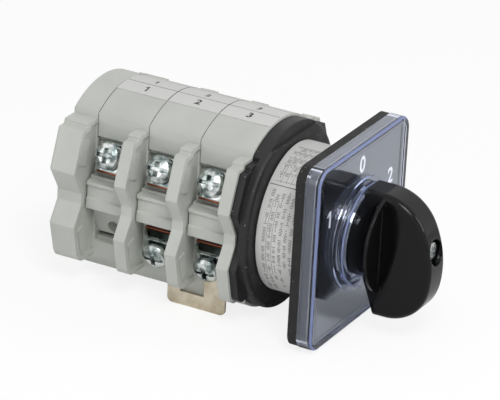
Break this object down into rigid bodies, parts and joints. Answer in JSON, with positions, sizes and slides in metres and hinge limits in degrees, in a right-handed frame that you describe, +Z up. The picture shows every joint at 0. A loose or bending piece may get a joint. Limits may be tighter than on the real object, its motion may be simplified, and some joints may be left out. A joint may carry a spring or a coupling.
{
  "type": "rotary cam switch",
  "caption": "Panel-mounted rotary cam switch with three contact stages, screw terminals, black latch housing, clear square front plate and black knob",
  "frame": {"origin": "on the switch axis at the plane of the panel, which is the rear face of the gasket", "axes": "+Y runs along the axis to the rear, +Z up and +X right as the operator sees it"},
  "size_m": [0.0664, 0.1277, 0.0663],
  "materials": {
    "grey_plastic": "satin",
    "black_plastic": "matte",
    "black_gloss": "gloss",
    "rubber": "matte",
    "clear_plastic": "gloss",
    "legend": "satin",
    "paper": "matte",
    "zinc": "satin",
    "copper": "satin",
    "tinned": "satin",
    "steel": "satin",
    "spring_steel": "satin",
    "white_plastic": "satin"
  },
  "bodies": {
    "switch_body": {"rear_cap": "grey_plastic", "stage_1_housing": "grey_plastic", "stage_2_housing": "grey_plastic", "stage_3_housing": "grey_plastic", "latch_housing": "black_plastic", "plate_holder": "black_plastic", "panel_gasket": "rubber", "clear_front_plate": "clear_plastic", "legend_plate": "legend", "rating_label": "paper", "marker_strip": "paper", "wire_clamps_1": "zinc", "wire_clamps_2": "zinc", "wire_clamps_3": "zinc", "terminal_screws": "zinc", "tie_screws": "zinc", "panel_screws": "zinc", "fixed_contact_1_upper_left": "copper", "fixed_contact_1_upper_right": "copper", "fixed_contact_2_upper_left": "copper", "fixed_contact_2_upper_right": "copper", "fixed_contact_2_lower_left": "copper", "fixed_contact_2_lower_right": "copper", "fixed_contact_3_upper_left": "copper", "fixed_contact_3_upper_right": "copper", "fixed_contact_3_lower_left": "copper", "fixed_contact_3_lower_right": "copper", "jumper_link": "tinned", "detent_spring_top": "spring_steel", "detent_spring_bottom": "spring_steel", "contact_spring_1_upper": "spring_steel", "contact_spring_2_upper": "spring_steel", "contact_spring_2_lower": "spring_steel", "contact_spring_3_upper": "spring_steel", "contact_spring_3_lower": "spring_steel"},
    "rotor": {"shaft": "steel", "cam_1": "white_plastic", "cam_2": "white_plastic", "cam_3": "white_plastic", "detent_wheel": "steel", "knob": "black_gloss", "knob_screw": "zinc"},
    "contact_set_1_upper": {"plunger_1_upper": "white_plastic", "contact_bridge_1_upper": "copper"},
    "contact_set_2_upper": {"plunger_2_upper": "white_plastic", "contact_bridge_2_upper": "copper"},
    "contact_set_2_lower": {"plunger_2_lower": "white_plastic", "contact_bridge_2_lower": "copper"},
    "contact_set_3_upper": {"plunger_3_upper": "white_plastic", "contact_bridge_3_upper": "copper"},
    "contact_set_3_lower": {"plunger_3_lower": "white_plastic", "contact_bridge_3_lower": "copper"}
  },
  "joints": [
    {"name": "shaft_turn", "type": "hinge", "parent": "switch_body", "child": "rotor", "pos_m": [0, 0, 0], "axis": [0, 1, 0], "range_deg": [-60, 60], "deforming": ["detent_spring_top", "detent_spring_bottom"]},
    {"name": "lift_1_upper", "type": "slide", "parent": "switch_body", "child": "contact_set_1_upper", "axis": [0, 0, 1], "range_m": [-0.0025, 0.0025], "deforming": ["contact_spring_1_upper"]},
    {"name": "lift_2_upper", "type": "slide", "parent": "switch_body", "child": "contact_set_2_upper", "axis": [0, 0, 1], "range_m": [-0.0025, 0.0025], "deforming": ["contact_spring_2_upper"]},
    {"name": "lift_2_lower", "type": "slide", "parent": "switch_body", "child": "contact_set_2_lower", "axis": [0, 0, -1], "range_m": [-0.0025, 0.0025], "deforming": ["contact_spring_2_lower"]},
    {"name": "lift_3_upper", "type": "slide", "parent": "switch_body", "child": "contact_set_3_upper", "axis": [0, 0, 1], "range_m": [-0.0025, 0.0025], "deforming": ["contact_spring_3_upper"]},
    {"name": "lift_3_lower", "type": "slide", "parent": "switch_body", "child": "contact_set_3_lower", "axis": [0, 0, -1], "range_m": [-0.0025, 0.0025], "deforming": ["contact_spring_3_lower"]}
  ],
  "couplings": [
    {"joint": "lift_1_upper", "follows": "shaft_turn", "m_per_rad": 0.0023873},
    {"joint": "lift_2_upper", "follows": "shaft_turn", "m_per_rad": 0.0023873},
    {"joint": "lift_2_lower", "follows": "shaft_turn", "m_per_rad": -0.0023873},
    {"joint": "lift_3_upper", "follows": "shaft_turn", "m_per_rad": 0.0023873},
    {"joint": "lift_3_lower", "follows": "shaft_turn", "m_per_rad": -0.0023873}
  ]
}
